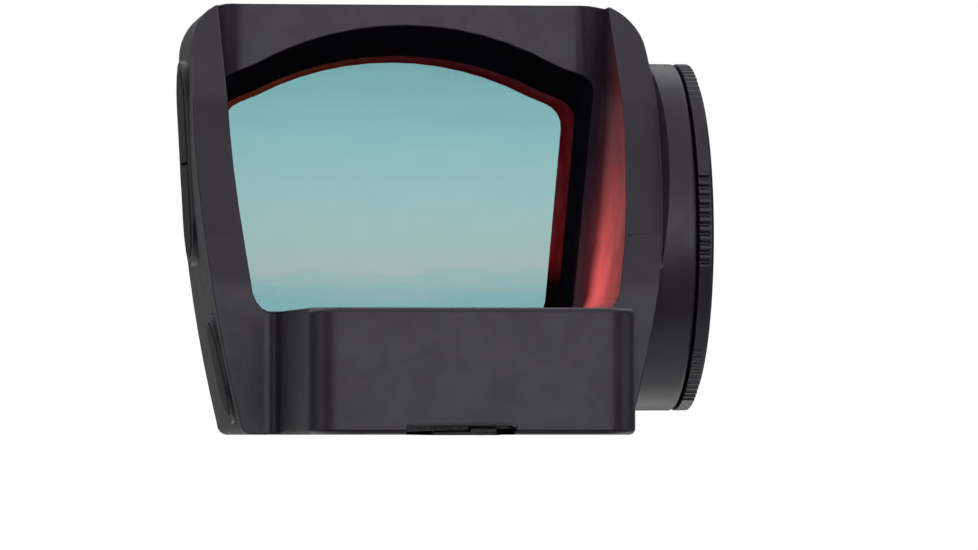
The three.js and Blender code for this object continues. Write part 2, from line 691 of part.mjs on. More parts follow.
/** Block in plan: rounded back corners, and hollow corners where it meets the wings. */
function blockOutline() {
  const { halfWidth, cornerRadius: corner, rootRadius: root, lap } = BLOCK;
  return mirrored([
    ...arc(halfWidth - corner, REAR_Y + corner, corner, -90, 0, 8),
    ...arc(halfWidth + root, WING_Y - root, root, 180, 90, 5),
    [halfWidth + root, WING_Y + lap],
  ]);
}

/** Block with rounded top and bottom edges, which fade out where it laps into the hood. */
function blockBody() {
  const { halfWidth, top, edgeRadius: edge, lap } = BLOCK;
  const front = WING_Y + lap;
  const runs = 3; // round each edge, with one straight run between the edges
  const sections = 2 * runs + 1;
  const geometry = prism(blockOutline(), 'z', 0, top, { steps: sections });
  const place = geometry.attributes.position;
  for (let i = 0; i < place.count; i += 1) {
    const section = Math.round((sections * place.getZ(i)) / top);
    const turn = degrees((90 * Math.min(section, sections - section)) / runs);
    const inset = edge * (1 - Math.sin(turn));
    const rise = edge * (1 - Math.cos(turn));
    const share = (front - place.getY(i)) / (front - REAR_Y);
    place.setX(i, place.getX(i) * (1 - (share * inset) / halfWidth));
    place.setY(i, place.getY(i) + share * inset);
    place.setZ(i, section <= runs ? rise : top - rise);
  }
  return solid(geometry);
}

/** Box between two corners that are measured from the emitter. */
const emitterBox = (...corners) => block(...corners).translate(0, EMITTER.y, EMITTER.z);

const WINDAGE_CENTRE = [0, EMITTER.y, EMITTER.z];
const ELEVATION_CENTRE = [0, ELEVATION_Y, 0];

/** Chamber of the emitter: a tall front part and a low part under the elevation screw. */
function emitterChamber() {
  const { half, back, step, front, lowTop, top } = CHAMBER;
  const open = POCKET.ceiling - EMITTER.z - 1; // both parts open into the board pocket
  const { half: wide, back: glassBack, front: glassFront, bottom: glassBottom, top: glassTop } = SHIELD;
  const rim = 0.6; // of the seat that the clear window is glued to
  return [
    emitterBox(-half, half, step, front, open, top),
    emitterBox(-half, half, back, step + 0.1, open, lowTop),
    emitterBox(rim - wide, wide - rim, front - 0.5, glassBack, 0, top),
    emitterBox(-wide - GAP, wide + GAP, glassBack - GAP, glassFront + GAP, glassBottom - GAP, glassTop + GAP),
  ];
}

/** Bores of the two adjusting screws. */
function adjusterBores() {
  const { bore, headBore } = ADJUSTER;
  return [
    [WINDAGE_SCREW.seat, CHAMBER.half, 'x', WINDAGE_CENTRE, BLOCK.halfWidth],
    [ELEVATION_SCREW.seat, EMITTER.z + CHAMBER.lowTop, 'z', ELEVATION_CENTRE, BLOCK.top],
  ].flatMap(([seat, chamber, axis, centre, face]) => [
    rod(headBore, axis, seat, face + 2, centre),
    rod(bore, axis, chamber - 0.5, seat + 0.1, centre),
  ]);
}

/** Spaces inside the block for the emitter, its adjusters and the board. */
function blockHollows() {
  return [
    ...emitterChamber(),
    ...adjusterBores(),
    prism(pocketOutline(0), 'z', -1, POCKET.ceiling),
    prism(coverOutline(GAP), 'z', -1, POCKET.recess),
    ...COVER_SCREWS.map((place) => rod(COVER_SCREW.hole, 'z', 1, COVER_SCREW.length + 0.4, place, 12)),
  ].map(solid);
}

/** Shallow relief in the block's bottom rear edge; it opens into the cover's recess. */
function baseRelief() {
  const { left, right, height, depth } = RELIEF;
  return solid(prism(rectangle(left, right, -1, height, 0.3), 'y', REAR_Y - 1, REAR_Y + depth));
}

/** Open-topped channel from the emitter to the window, widening forwards. */
function beamChannel() {
  const { rear, rearHalf, half, end, z, cornerRadius } = CHANNEL;
  const outline = rounded([
    [-rearHalf, rear], [rearHalf, rear], [half, WING_Y],
    [half, end, cornerRadius], [-half, end, cornerRadius], [-half, WING_Y],
  ]);
  return solid(prism(outline, 'z', z, BLOCK.top + 1));
}

/** Counterbored holes for the mounting screws, and blind holes for the locating pins. */
function mountingHoles() {
  const { screw, locator } = MOUNTING;
  return [-1, 1].flatMap((side) => {
    const centre = [side * screw.x, screw.y, 0];
    return [
      rod(screw.radius, 'z', -1, screw.headZ + 0.5, centre),
      rod(screw.headRadius, 'z', screw.headZ, DECK.z + DECK.cornerRadius, centre, 32),
      rod(locator.radius, 'z', -1, locator.depth, [side * locator.x, locator.y, 0]),
    ];
  }).map(solid);
}

function makeHousing() {
  const hood = union(cut(hoodBody(), behindWings()), batteryBoss());
  const shell = union(cut(hood, betweenWings()), blockBody());
  const seat = solid(prism(grown(LENS_OUTLINE, LENS.seat), 'y', LENS.y, FRONT_Y + 1));
  const ways = CABLE_WAYS.map(({ from, to, radius }) => solid(drilled(from, to, radius)));
  const housing = cut(
    shell, windowTunnel(), seat, batteryBore(), beamChannel(), baseRelief(),
    ...mountingHoles(), ...blockHollows(), ...panelRecesses(), ...ways,
  );
  piece('housing', housing, 'anodised');
}

// ---------------------------------------------------------------- emitter and adjusters

/** Carriage that the windage screw slides sideways: a stepped frame with the holder inside it. */
function makeCarriage() {
  const { half, inner, back, step, front, bottom, lowTop, top } = CARRIAGE;
  const floor = bottom + 0.5;
  const frame = [
    emitterBox(-half, half, step, front, bottom, top),
    emitterBox(-half, half, back, step + 0.1, bottom, lowTop),
  ].map(solid);
  const bay = solid(emitterBox(-inner, inner, step + 0.1, front + 1, floor, top + 1));
  const lowBay = solid(emitterBox(-inner, inner, back - 1, step + 0.2, floor, lowTop + 1));
  piece('windage_carriage', cut(union(...frame), bay, lowBay), 'steel');
}

/** Holder of the light source, which the elevation screw pushes down against its spring. */
function makeHolder() {
  const { half, back, step, front, bottom, lowTop, top } = HOLDER;
  const body = union(...[
    emitterBox(-half, half, step, front, bottom, top),
    emitterBox(-half, half, back, step + 0.1, bottom, lowTop),
  ].map(solid));
  const lightBay = solid(emitterBox(-1, 1, front - 1, front + 1, -0.2, 1.3));
  const springBay = solid(rod(SPRING.bay, 'z', 3, SPRING.bayTop, [0, EMITTER.y + SPRING.y, 0], 20));
  piece('emitter_holder', cut(body, lightBay, springBay), 'gold');
}

function makeEmitter() {
  const { front } = HOLDER;
  piece('led_emitter', emitterBox(-0.8, 0.8, front - 0.9, front - 0.4, 0, 1.1), 'led');
  const plate = solid(emitterBox(-1.6, 1.6, front + GAP, front + 0.25, -0.6, 1.7));
  const pinhole = solid(rod(PINHOLE.radius, 'y', -40, 0, [0, 0, EMITTER.z + PINHOLE.z], 12));
  piece('emitter_aperture', cut(plate, pinhole), 'dark');
  const { half, back, front: face, bottom, top } = SHIELD;
  piece('emitter_window', emitterBox(-half, half, back, face, bottom, top), 'glass');
}

/** Bent film that brings the current up from the board to the light source. */
function makeFlex() {
  const outer = CARRIAGE.front + 0.25;
  const inner = CARRIAGE.front + GAP;
  const end = HOLDER.front + 0.35;
  const [foot, under, top] = [-3.45, -0.95, -0.8];
  const strip = [[inner, foot], [outer, foot], [outer, top], [end, top], [end, under], [inner, under]];
  piece('emitter_flex', prism(strip, 'x', -1.2, 1.2).translate(0, EMITTER.y, EMITTER.z), 'amber');
}

function makeSprings() {
  const { bottom, half, back, front } = CARRIAGE;
  const foot = EMITTER.z + bottom + 0.55;
  const under = [0, EMITTER.y + SPRING.y, 0];
  piece('elevation_spring', coil(0.72, 0.15, 4, 'z', foot, SPRING.bayTop - GAP, under), 'spring');
  const wall = GAP / 2 - CHAMBER.half;
  piece('windage_spring', coil(0.95, 0.18, 4, 'x', wall, -half - GAP / 2, WINDAGE_CENTRE), 'spring');
  const strap = emitterBox(-8.8, 8.8, back + 0.8, front, bottom - 0.35, bottom - GAP);
  piece('carriage_retainer', strap, 'spring');
}

/** Slotted adjusting screw and its O-ring; tip, neck, head and end are places along the axis. */
function makeAdjuster(name, axis, centre, { tip, neck, head, end }) {
  const { shank, neck: neckRadius, head: headRadius, slot } = ADJUSTER;
  const edge = 0.2;
  const profile = [
    [0, tip], [shank - 0.35, tip], [shank, tip + 0.35], [shank, neck], [neckRadius, neck], [neckRadius, head],
    [headRadius, head], [headRadius, end - edge], [headRadius - edge, end], [0, end],
  ];
  const screw = solid(turned(profile, axis, centre, 24));
  const across = block(-3, 3, end - slot, end + 1, -slot / 2, slot / 2);
  const blade = solid(across.applyMatrix4(TURNED_ALONG[axis]).translate(...centre));
  piece(`${name}_screw`, cut(screw, blade), 'dark');
  piece(`${name}_o_ring`, oRing(1.85, 0.42, axis, (neck + head) / 2, centre), 'rubber');
}

// ---------------------------------------------------------------- underside

/** Circuit board and the parts that hang under it. */
function makeElectronics() {
  piece('main_board', prism(pocketOutline(BOARD.inset), 'z', BOARD.bottom, BOARD.top), 'board');
  const top = BOARD.bottom - GAP / 2;
  const chip = ({ x, y, width, length, height }) => block(
    x - width / 2, x + width / 2, y - length / 2, y + length / 2, top - height, top,
  );
  CHIPS.forEach((size) => piece(size.name, chip(size), 'chip'));
  [1, 2, 3].forEach((count) => {
    const size = { ...CAPACITOR, y: CAPACITOR.y + CAPACITOR.pitch * (count - 1) };
    piece(`board_capacitor_${count}`, chip(size), 'amber');
  });
}

function makeCover() {
  const { sink, hole } = COVER_SCREW;
  const rear = POCKET.back - COVER.margin;
  const plate = solid(prism(coverOutline(0), 'z', 0, COVER.thickness));
  const tip = rear - TAB_REACH;
  const tabs = TABS.map(({ left, right, top }) => solid(block(left, right, tip, rear + 0.5, 0.05, top)));
  const sunk = [[0, -0.5], [sink, -0.5], [sink, 0.3], [hole, 0.6], [hole, 4], [0, 4]];
  const sinks = COVER_SCREWS.map((place) => solid(turned(sunk, 'z', place, 16)));
  piece('bottom_cover', cut(union(plate, ...tabs), ...sinks), 'dark');
  const [bottom, top] = [COVER.thickness + 0.05, COVER.thickness + 0.35];
  const ring = solid(prism(coverOutline(-GAP), 'z', bottom, top, { hole: pocketOutline(0) }));
  const holes = COVER_SCREWS.map((place) => solid(rod(hole, 'z', 0, 3, place, 12)));
  piece('cover_gasket', cut(ring, ...holes), 'rubber');
}

function makeCoverScrews() {
  const { shank, head, length } = COVER_SCREW;
  const profile = [[0, 0.05], [head, 0.05], [head, 0.28], [shank, 0.58], [shank, length], [0, length]];
  COVER_SCREWS.forEach((place, i) => {
    const [x, y] = place;
    const slot = solid(block(x - 2, x + 2, y - 0.12, y + 0.12, -1, 0.25));
    piece(`cover_screw_${i + 1}`, cut(solid(turned(profile, 'z', place, 16)), slot), 'steel');
  });
}

makeHousing();
makeLens();
makeBatteryCap();
makeCell();
makeBatteryContacts();
makeKeypad();
makePowerButton();
makeCables();
makeCarriage();
makeHolder();
makeEmitter();
makeFlex();
makeSprings();
makeAdjuster('windage', 'x', WINDAGE_CENTRE, WINDAGE_SCREW);
makeAdjuster('elevation', 'z', ELEVATION_CENTRE, ELEVATION_SCREW);
makeElectronics();
makeCover();
makeCoverScrews();

export default sight;
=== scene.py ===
"""Looks of a reflex red dot sight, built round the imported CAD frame.

Metres, +X to the shooter's right, +Y towards the target, +Z up.
"""
import json
import math

import bmesh
import bpy
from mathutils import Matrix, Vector


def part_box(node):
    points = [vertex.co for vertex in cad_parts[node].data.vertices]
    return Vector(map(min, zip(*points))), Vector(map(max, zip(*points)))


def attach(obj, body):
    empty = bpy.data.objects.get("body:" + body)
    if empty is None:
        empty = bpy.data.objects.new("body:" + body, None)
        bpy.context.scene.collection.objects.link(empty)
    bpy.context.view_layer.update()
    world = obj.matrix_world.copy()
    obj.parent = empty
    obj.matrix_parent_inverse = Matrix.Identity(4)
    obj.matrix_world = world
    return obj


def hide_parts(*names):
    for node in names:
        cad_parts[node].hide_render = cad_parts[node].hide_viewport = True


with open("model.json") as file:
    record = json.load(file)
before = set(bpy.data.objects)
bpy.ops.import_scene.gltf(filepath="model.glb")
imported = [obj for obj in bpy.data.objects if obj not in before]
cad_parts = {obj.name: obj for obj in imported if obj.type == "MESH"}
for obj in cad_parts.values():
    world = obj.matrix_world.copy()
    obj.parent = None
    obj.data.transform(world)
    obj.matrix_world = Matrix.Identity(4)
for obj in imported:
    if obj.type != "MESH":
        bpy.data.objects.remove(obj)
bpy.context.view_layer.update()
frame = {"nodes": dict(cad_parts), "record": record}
MM = 0.001

# ---------------------------------------------------------------- camera and lights
# Places and targets of the lamps are in millimetres.

CAMERA_PLACE = Vector((-85.3, -704.0, 0.0)) * MM
CAMERA_TARGET = Vector((0.4, -5.5, 17.5)) * MM
SENSOR_MM = 36
LENS_MM = 319.5
SHIFT = (0.0552, -0.0573)
CLIP = (0.01, 20)
OVERHEAD = {"place": (0, -70, 75), "target": (0, 10, 30), "size_mm": 40, "watts": 0.03}
GLOW = {
    "place": (3.5, 6, 10.5),
    "target": (16, -5.5, 12.5),
    "spread_degrees": 132,
    "radius_mm": 1.5,
    "watts": 0.42,
    "colour": (1.0, 0.165, 0.095),
}


def make_camera():
    """The photo's view: from behind and a little to the left, level with the floor."""
    data = bpy.data.cameras.new("camera")
    data.sensor_width = SENSOR_MM
    data.lens = LENS_MM
    data.shift_x, data.shift_y = SHIFT
    data.clip_start, data.clip_end = CLIP
    camera = bpy.data.objects.new("camera", data)
    camera.location = CAMERA_PLACE
    camera.rotation_mode = "QUATERNION"
    camera.rotation_quaternion = (CAMERA_TARGET - CAMERA_PLACE).to_track_quat("-Z", "Y")
    bpy.context.scene.collection.objects.link(camera)
    bpy.context.scene.camera = camera


def place_lamp(name, data, place, target):
    """Hangs a lamp at a place in millimetres, aimed at a target; nothing shows or mirrors the lamp."""
    lamp = bpy.data.objects.new(name, data)
    lamp.location = Vector(place) * MM
    lamp.rotation_mode = "QUATERNION"
    lamp.rotation_quaternion = (Vector(target) - Vector(place)).to_track_quat("-Z", "Y")
    lamp.visible_camera = False
    lamp.visible_glossy = False
    bpy.context.scene.collection.objects.link(lamp)


def overhead_light():
    """Soft light over the back of the sight, which picks out the bridge above the block."""
    data = bpy.data.lights.new("overhead_light", "AREA")
    data.shape = "DISK"
    data.size = OVERHEAD["size_mm"] * MM
    data.energy = OVERHEAD["watts"]
    place_lamp("overhead_light", data, OVERHEAD["place"], OVERHEAD["target"])


def red_glow():
    """Stray light of the red emitter on the inner wall of the right wing."""
    data = bpy.data.lights.new("emitter_glow", "SPOT")
    data.energy = GLOW["watts"]
    data.color = GLOW["colour"]
    data.spot_size = math.radians(GLOW["spread_degrees"])
    data.spot_blend = 1.0
    data.shadow_soft_size = GLOW["radius_mm"] * MM
    place_lamp("emitter_glow", data, GLOW["place"], GLOW["target"])


# ---------------------------------------------------------------- node helpers

MIX_FIRST, MIX_SECOND, MIX_RESULT = 6, 7, 2  # the colour sockets of a Mix node, which share their names


def link(tree, source, target):
    tree.links.new(source, target)


def node(tree, kind, **settings):
    """Adds a node; settings name its inputs, or its own properties where no input has that name."""
    made = tree.nodes.new("ShaderNode" + kind)
    for key, value in settings.items():
        name = key.replace("_", " ")
        if name in made.inputs:
            made.inputs[name].default_value = value
        else:
            setattr(made, key, value)
    return made


def ramp(tree, factor, stops):
    """Colour ramp through stops of (position, colour)."""
    made = node(tree, "ValToRGB")
    elements = made.color_ramp.elements
    while len(elements) < len(stops):
        elements.new(0.5)
    for element, (position, colour) in zip(elements, stops):
        element.position = position
        element.color = (*colour, 1)
    link(tree, factor, made.inputs["Fac"])
    return made.outputs["Color"]


def greys(stops):
    """Stops of (position, grey) as stops for a colour ramp."""
    return [(position, (grey, grey, grey)) for position, grey in stops]


def spread(tree, value, low, high, out_low=0.0, out_high=1.0):
    """Maps a value from one range to another, clamped."""
    made = node(tree, "MapRange", From_Min=low, From_Max=high, To_Min=out_low, To_Max=out_high)
    link(tree, value, made.inputs["Value"])
    return made.outputs["Result"]


def mixed(tree, factor, first, second):
    """Mix of two colours, each a socket or a plain colour."""
    made = node(tree, "Mix", data_type="RGBA")
    link(tree, factor, made.inputs["Factor"])
    for socket, value in ((made.inputs[MIX_FIRST], first), (made.inputs[MIX_SECOND], second)):
        if isinstance(value, tuple):
            socket.default_value = (*value, 1)
        else:
            link(tree, value, socket)
    return made.outputs[MIX_RESULT]


def object_place(tree):
    """Where a point is on the sight, along X, Y and Z."""
    coords = node(tree, "TexCoord")
    split = node(tree, "SeparateXYZ")
    link(tree, coords.outputs["Object"], split.inputs["Vector"])
    return split.outputs


NOISE_SPAN = (0.3, 0.7)  # the range that most of a noise lies in
BLOTCH_SPAN = (0.35, 0.65)
CHIP_SPAN = (0.38, 0.62)


def grain(tree, size_mm, detail=3.0, stretch=(1, 1, 1)):
    """Noise whose features are about size_mm across, fixed to the piece."""
    coords = node(tree, "TexCoord")
    scaled = node(tree, "Mapping")
    scaled.inputs["Scale"].default_value = stretch
    link(tree, coords.outputs["Object"], scaled.inputs["Vector"])
    made = node(tree, "TexNoise", Scale=1 / (size_mm * MM), Detail=detail, Roughness=0.6)
    link(tree, scaled.outputs["Vector"], made.inputs["Vector"])
    return made.outputs["Fac"]


EDGE_TURN = (0.995, 0.9)  # cosine of the turn in the surface, where an edge starts and where it is full
EDGE_CHIPS_MM = 0.5
GLOSS_SHARE = 0.4  # size of the glossy patches, as a share of the size of the blotches


def worn_edges(tree, radius_mm):
    """1 on sharp outer edges, 0 on flats, broken up by noise."""
    rounded = node(tree, "Bevel", samples=6, Radius=radius_mm * MM)
    geometry = node(tree, "NewGeometry")
    facing = node(tree, "VectorMath", operation="DOT_PRODUCT")
    link(tree, rounded.outputs["Normal"], facing.inputs[0])
    link(tree, geometry.outputs["Normal"], facing.inputs[1])
    edge = spread(tree, facing.outputs["Value"], *EDGE_TURN)
    broken = spread(tree, grain(tree, EDGE_CHIPS_MM, 4.0), *CHIP_SPAN)
    both = node(tree, "Math", operation="MULTIPLY")
    link(tree, edge, both.inputs[0])
    link(tree, broken, both.inputs[1])
    return both.outputs["Value"]


def new_material(name):
    """A material, its node tree and its shader."""
    material = bpy.data.materials.new(name)
    material.use_nodes = True
    return material, material.node_tree, material.node_tree.nodes["Principled BSDF"]


def finish(name, dark, light, rough, blotch_mm=3.0, grain_mm=0.2, depth_mm=0.004, stretch=(1, 1, 1),
           wear=None, **sockets):
    """Solid finish: two mottled colours, a roughness range, a fine bump and worn edges.

    Each colour is a plain one, or a function of the node tree that makes one.
    """
    material, tree, shader = new_material(name)
    blotches = spread(tree, grain(tree, blotch_mm, 4.0), *BLOTCH_SPAN)
    dark, light = (colour(tree) if callable(colour) else colour for colour in (dark, light))
    colour = mixed(tree, blotches, dark, light)
    roughness = spread(tree, grain(tree, blotch_mm * GLOSS_SHARE), *NOISE_SPAN, *rough)
    if wear:
        bare, radius_mm, amount = wear
        edge = node(tree, "Math", operation="MULTIPLY")
        edge.inputs[1].default_value = amount
        link(tree, worn_edges(tree, radius_mm), edge.inputs[0])
        colour = mixed(tree, edge.outputs["Value"], colour, bare)
    link(tree, colour, shader.inputs["Base Color"])
    link(tree, roughness, shader.inputs["Roughness"])
    bump = node(tree, "Bump", Distance=depth_mm * MM)
    link(tree, grain(tree, grain_mm, 2.0, stretch), bump.inputs["Height"])
    link(tree, bump.outputs["Normal"], shader.inputs["Normal"])
    for key, value in sockets.items():
        shader.inputs[key.replace("_", " ")].default_value = value
    return material


# ---------------------------------------------------------------- materials


def anodised():
    """Bead-blasted black anodising, rubbed grey along its edges."""
    return finish("anodised_black", (0.013, 0.009, 0.018), (0.019, 0.015, 0.025), (0.28, 0.4),
                  blotch_mm=5.0, grain_mm=0.12, depth_mm=0.006, wear=((0.1, 0.095, 0.11), 0.2, 0.55),
                  Specular_IOR_Level=0.6)


def tunnel_painted_shade():
    """Painted shade on the walls of the tunnel round the lens: near-black and matt."""
    return finish("tunnel_painted_shade", (0.006, 0.006, 0.009), (0.010, 0.009, 0.014), (0.9, 1.0),
                  blotch_mm=2.0, grain_mm=0.15, depth_mm=0.01, Specular_IOR_Level=0.0)


def rubber():
    """Rubber of the seals, the buttons and the negative lead's cover."""
    return finish("rubber_black", (0.014, 0.014, 0.016), (0.024, 0.024, 0.026), (0.55, 0.72),
                  blotch_mm=2.0, grain_mm=0.08, depth_mm=0.006)


def sealant():
    """Black sealant round the lens."""
    return finish("sealant_black", (0.006, 0.006, 0.007), (0.012, 0.012, 0.013), (0.4, 0.6),
                  blotch_mm=1.2, grain_mm=0.5, depth_mm=0.02)


def black_oxide():
    """Blackened metal, bare along the edges that have been rubbed."""
    return finish("screw_black", (0.02, 0.02, 0.022), (0.035, 0.034, 0.036), (0.26, 0.42), blotch_mm=1.5,
                  grain_mm=0.1, depth_mm=0.004, wear=((0.3, 0.3, 0.31), 0.12, 0.6), Metallic=0.6)


def nickel():
    """Nickel-plated steel with fine lines along Y."""
    return finish("steel", (0.5, 0.5, 0.51), (0.66, 0.66, 0.67), (0.2, 0.36), blotch_mm=2.5, grain_mm=0.06,
                  depth_mm=0.002, stretch=(1, 0.08, 1), wear=((0.8, 0.8, 0.8), 0.1, 0.5), Metallic=1.0)


def spring_steel():
    """Bright spring wire and strip."""
    return finish("spring_steel", (0.4, 0.4, 0.42), (0.56, 0.56, 0.58), (0.18, 0.3), blotch_mm=1.0,
                  grain_mm=0.05, depth_mm=0.002, Metallic=1.0)


def gold():
    """Gold plate of the emitter's holder and the negative contact."""
    return finish("gold_plate", (0.62, 0.42, 0.17), (0.78, 0.58, 0.28), (0.2, 0.34), blotch_mm=1.5,
                  grain_mm=0.08, depth_mm=0.002, wear=((0.85, 0.7, 0.42), 0.1, 0.5), Metallic=1.0)


def moulded_black():
    """Black moulded plastic of the chips, the insulator and the grommet."""
    return finish("chip_black", (0.012, 0.012, 0.013), (0.022, 0.022, 0.023), (0.42, 0.6), blotch_mm=0.8,
                  grain_mm=0.05, depth_mm=0.004, wear=((0.05, 0.05, 0.05), 0.08, 0.5))


def polyimide():
    """Amber film of the flat cables and the small boards; the capacitors share it."""
    return finish("flex_amber", (0.42, 0.2, 0.035), (0.58, 0.3, 0.07), (0.22, 0.38), blotch_mm=1.2,
                  grain_mm=0.3, depth_mm=0.01, Coat_Weight=0.4)


def red_plastic():
    """Red plastic of the emitter and of the positive lead's cover."""
    return finish("red_lens", (0.5, 0.02, 0.015), (0.72, 0.05, 0.03), (0.16, 0.28), blotch_mm=0.8,
                  grain_mm=0.2, depth_mm=0.004, Coat_Weight=0.3)


def solder_mask():
    """Green board: copper tracks show as a raised, lighter pattern under the mask."""
    material, tree, shader = new_material("board_green")
    coords = node(tree, "TexCoord")
    tracks = node(tree, "TexBrick", Scale=1 / (3.2 * MM), Mortar_Size=0.07, Mortar_Smooth=0.1)
    link(tree, coords.outputs["Object"], tracks.inputs["Vector"])
    mottle = mixed(tree, grain(tree, 1.5), (0.012, 0.09, 0.045), (0.02, 0.14, 0.07))
    link(tree, mixed(tree, tracks.outputs["Fac"], mottle, (0.05, 0.26, 0.13)), shader.inputs["Base Color"])
    link(tree, spread(tree, grain(tree, 0.8), *NOISE_SPAN, 0.22, 0.4), shader.inputs["Roughness"])
    bump = node(tree, "Bump", Distance=0.02 * MM)
    link(tree, tracks.outputs["Fac"], bump.inputs["Height"])
    link(tree, bump.outputs["Normal"], shader.inputs["Normal"])
    return material


def see_through(name, tint, gloss):
    """Thin clear surface: tinted light passes straight through, and a share of it is mirrored."""
    material, tree, shader = new_material(name)
    output = tree.nodes["Material Output"]
    shader.inputs["Metallic"].default_value = 1.0
    link(tree, spread(tree, grain(tree, 4.0), *NOISE_SPAN, 0.02, 0.06), shader.inputs["Roughness"])
    mirrored = mixed(tree, grain(tree, 6.0), (0.80, 0.92, 0.95), (0.92, 0.97, 0.96))
    link(tree, mirrored, shader.inputs["Base Color"])
    clear = node(tree, "BsdfTransparent")
    link(tree, tint(tree), clear.inputs["Color"])
    edge_on = node(tree, "Fresnel", IOR=gloss)
    mix = node(tree, "MixShader")
    link(tree, edge_on.outputs["Fac"], mix.inputs["Fac"])
    link(tree, clear.outputs["BSDF"], mix.inputs[1])
    link(tree, shader.outputs["BSDF"], mix.inputs[2])
    link(tree, mix.outputs["Shader"], output.inputs["Surface"])
    return material


COATING_WITH_PAINTED_SHADE = [
    (0.0, (0.26, 0.47, 0.50)),
    (0.10, (0.24, 0.44, 0.46)),
    (0.24, (0.40, 0.50, 0.49)),
    (0.45, (0.35, 0.53, 0.53)),
    (0.72, (0.27, 0.50, 0.52)),
    (0.9, (0.215, 0.44, 0.457)),
    (1.0, (0.18, 0.335, 0.38)),
]  # what the dichroic coating lets through, from the sill to the top of the arch, with painted shade darkening it near the top of the arch


def coated_glass():
    """Dichroic coating between the lens elements: teal, paler low down, with faint streaks, and painted
    shade darker near the top of the arch.
    """
    low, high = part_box("rear_lens_element")

    def tint(tree):
        height = spread(tree, object_place(tree)["Z"], low.z, high.z)
        streaks = spread(tree, grain(tree, 5.0, 4.0, (0.6, 1, 2.5)), *NOISE_SPAN, -0.035, 0.035)
        added = node(tree, "Math", operation="ADD")
        link(tree, height, added.inputs[0])
        link(tree, streaks, added.inputs[1])
        return ramp(tree, added.outputs["Value"], COATING_WITH_PAINTED_SHADE)

    return see_through("coated_glass", tint, 1.12)


def clear_glass():
    """Uncoated faces of the lens elements, and the emitter's window."""

    def tint(tree):
        return mixed(tree, grain(tree, 3.0), (0.95, 0.985, 0.98), (0.985, 0.995, 0.99))

    return see_through("clear_glass", tint, 1.15)


SILL_SHADE_MM = (4, 6)  # painted shade: the edge is painted black up to the first height above its foot, and painted as lit by the emitter from the second
LIT_SPAN = (0.2, 0.6)  # shares of the width of the lens, where the left colour of the painted red light ends and the right one starts


def lens_edge_painted_glow():
    """Ground edge of the lens with the red emitter's light painted on, as colour and as glow: orange on the
    left, and painted shade, black, near the sill.
    """
    low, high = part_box("rear_lens_element")
    dark_below, lit_above = (low.z + height * MM for height in SILL_SHADE_MM)

    def lit(left, right):
        def tone(tree):
            place = object_place(tree)
            across = ramp(tree, spread(tree, place["X"], low.x, high.x), list(zip(LIT_SPAN, (left, right))))
            return mixed(tree, spread(tree, place["Z"], dark_below, lit_above), (0, 0, 0), across)

        return tone

    # painted light: the edge's colour stands in for the emitter's red light, orange on the left and darker
    # red on the right, with painted shade at the sill
    material = finish("lens_edge_painted_glow", lit((0.5, 0.035, 0.01), (0.30, 0.004, 0.01)),
                      lit((0.7, 0.06, 0.015), (0.46, 0.012, 0.02)), (0.4, 0.6), blotch_mm=1.5,
                      grain_mm=0.2, depth_mm=0.01, Specular_IOR_Level=0.05, Emission_Strength=0.35)
    tree = material.node_tree
    shader = tree.nodes["Principled BSDF"]
    # painted glow: the edge emits its own colour, though it is no lamp
    link(tree, shader.inputs["Base Color"].links[0].from_socket, shader.inputs["Emission Color"])
    return material


def studio_floor():
    """Pale card under the sight."""
    return finish("studio_floor", (0.86, 0.86, 0.87), (0.9, 0.9, 0.91), (0.6, 0.8), blotch_mm=40.0,
                  grain_mm=0.6, depth_mm=0.02)


# Brightness of the room against height, from straight down at 0 to straight up at 1: behind the camera,
# and beyond the sight.
NEAR_ROOM = [(0.0, 0.45), (0.12, 0.06), (0.36, 0.06), (0.44, 0.9), (0.62, 1.0), (0.72, 0.45), (1.0, 0.4)]
FAR_ROOM = [(0.0, 0.4), (0.2, 0.8), (0.4, 0.13), (0.6, 0.13), (0.8, 0.8), (1.0, 0.4)]
# Share of the side walls' colour against how far a direction points to either side.
SIDE_WALLS = [(0.55, 0.0), (0.78, 1.0), (0.93, 1.0), (0.99, 0.5)]
SIDE_WALL_COLOUR = (0.06, 0.06, 0.065)
NEAR_TO_FAR = (-0.1, 0.4)  # where along Y the near room gives way to the far one
ROOM_STRENGTH = 1.3


def make_world():
    """White behind the sight; it is lit by a room with dark side walls, bright behind the camera."""
    world = bpy.data.worlds.new("studio")
    world.use_nodes = True
    tree = world.node_tree
    tree.nodes.clear()
    seen = node(tree, "Background", Color=(1, 1, 1, 1), Strength=1.0)
    room = node(tree, "Background", Strength=ROOM_STRENGTH)
    coords = node(tree, "TexCoord")
    split = node(tree, "SeparateXYZ")
    link(tree, coords.outputs["Generated"], split.inputs["Vector"])
    height = spread(tree, split.outputs["Z"], -1, 1)
    near = ramp(tree, height, greys(NEAR_ROOM))
    far = ramp(tree, height, greys(FAR_ROOM))
    ends = mixed(tree, spread(tree, split.outputs["Y"], *NEAR_TO_FAR), near, far)
    sideways = node(tree, "Math", operation="ABSOLUTE")
    link(tree, split.outputs["X"], sideways.inputs[0])
    walls = ramp(tree, sideways.outputs["Value"], greys(SIDE_WALLS))
    link(tree, mixed(tree, walls, ends, SIDE_WALL_COLOUR), room.inputs["Color"])
    path = node(tree, "LightPath")
    mix = node(tree, "MixShader")
    output = node(tree, "OutputWorld")
    link(tree, path.outputs["Is Camera Ray"], mix.inputs["Fac"])
    link(tree, room.outputs["Background"], mix.inputs[1])
    link(tree, seen.outputs["Background"], mix.inputs[2])
    link(tree, mix.outputs["Shader"], output.inputs["Surface"])
    bpy.context.scene.world = world


# ---------------------------------------------------------------- meshes from CAD nodes


def link_object(name, mesh):
    """An object in the scene that shows a mesh."""
    made = bpy.data.objects.new(name, mesh)
    bpy.context.scene.collection.objects.link(made)
    return made


WELD = 1e-7  # corners closer than this are one corner
SLIVER = 2e-5  # edges shorter than this are closed up
FLAT_DEGREES = 0.15  # faces that meet at less than this are one face
SHARP_DEGREES = 28  # edges that turn by more than this are rounded
BEVEL_SEGMENTS = 2
NORMAL_WEIGHT = 90  # how far the larger faces win when corners are shaded


